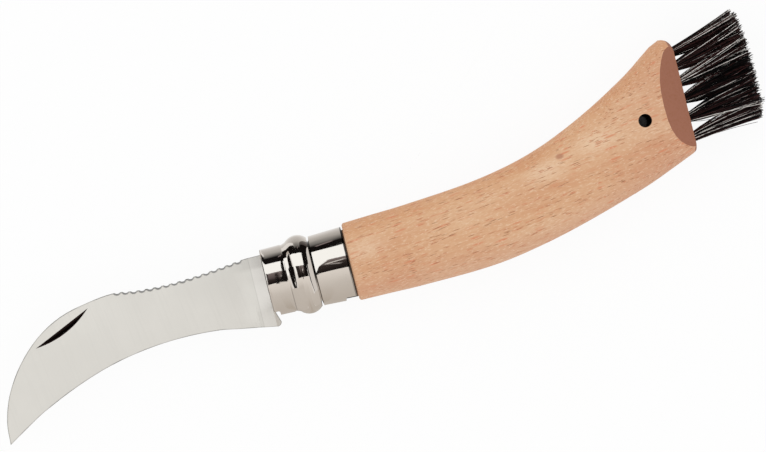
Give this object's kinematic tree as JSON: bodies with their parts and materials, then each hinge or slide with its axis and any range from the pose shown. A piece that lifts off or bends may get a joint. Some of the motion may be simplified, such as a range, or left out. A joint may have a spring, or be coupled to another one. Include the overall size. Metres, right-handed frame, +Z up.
{
  "type": "folding mushroom knife",
  "caption": "Folding mushroom knife, open on its side: hawkbill blade with a toothed back, slotted steel collar with a locking ring, curved beech handle and a bristle brush in its end.",
  "frame": {"origin": "under the centre of the open knife's bounding box, at its lowest level", "axes": "+X along the collar from the blade to the brush, +Y from the cutting edge to the toothed back, +Z up through the thickness, out of the face with the nail nick"},
  "size_m": [0.2142, 0.0656, 0.0213],
  "materials": {
    "beech": "sanded smooth, lightly varnished",
    "satin_steel": "satin",
    "polished_steel": "mirror polished",
    "bristle": "matt natural bristle",
    "anchor_wire": "drawn wire"
  },
  "bodies": {
    "handle": {"handle": "beech", "fixed_collar": "polished_steel", "pivot_pin": "satin_steel", "bristle_tuft_01": "bristle", "bristle_tuft_02": "bristle", "bristle_tuft_03": "bristle", "bristle_tuft_04": "bristle", "bristle_tuft_05": "bristle", "bristle_tuft_06": "bristle", "bristle_tuft_07": "bristle", "bristle_tuft_08": "bristle", "bristle_tuft_09": "bristle", "bristle_tuft_10": "bristle", "bristle_tuft_11": "bristle", "bristle_tuft_12": "bristle", "bristle_tuft_13": "bristle", "bristle_tuft_14": "bristle", "bristle_tuft_15": "bristle", "bristle_tuft_16": "bristle", "wire_anchor_01": "anchor_wire", "wire_anchor_02": "anchor_wire", "wire_anchor_03": "anchor_wire", "wire_anchor_04": "anchor_wire", "wire_anchor_05": "anchor_wire", "wire_anchor_06": "anchor_wire", "wire_anchor_07": "anchor_wire", "wire_anchor_08": "anchor_wire", "wire_anchor_09": "anchor_wire", "wire_anchor_10": "anchor_wire", "wire_anchor_11": "anchor_wire", "wire_anchor_12": "anchor_wire", "wire_anchor_13": "anchor_wire", "wire_anchor_14": "anchor_wire", "wire_anchor_15": "anchor_wire", "wire_anchor_16": "anchor_wire"},
    "blade": {"blade": "satin_steel"},
    "locking_ring": {"locking_ring": "polished_steel"}
  },
  "joints": [
    {"name": "blade_hinge", "type": "hinge", "parent": "handle", "child": "blade", "pos_m": [-0.0214, -0.00771, 0.01067], "axis": [0, 0, 1], "range_deg": [0, 165]},
    {"name": "ring_turn", "type": "hinge", "parent": "handle", "child": "locking_ring", "pos_m": [-0.0214, -0.00771, 0.01067], "axis": [-1, 0, 0], "range_deg": [0, 60]}
  ]
}
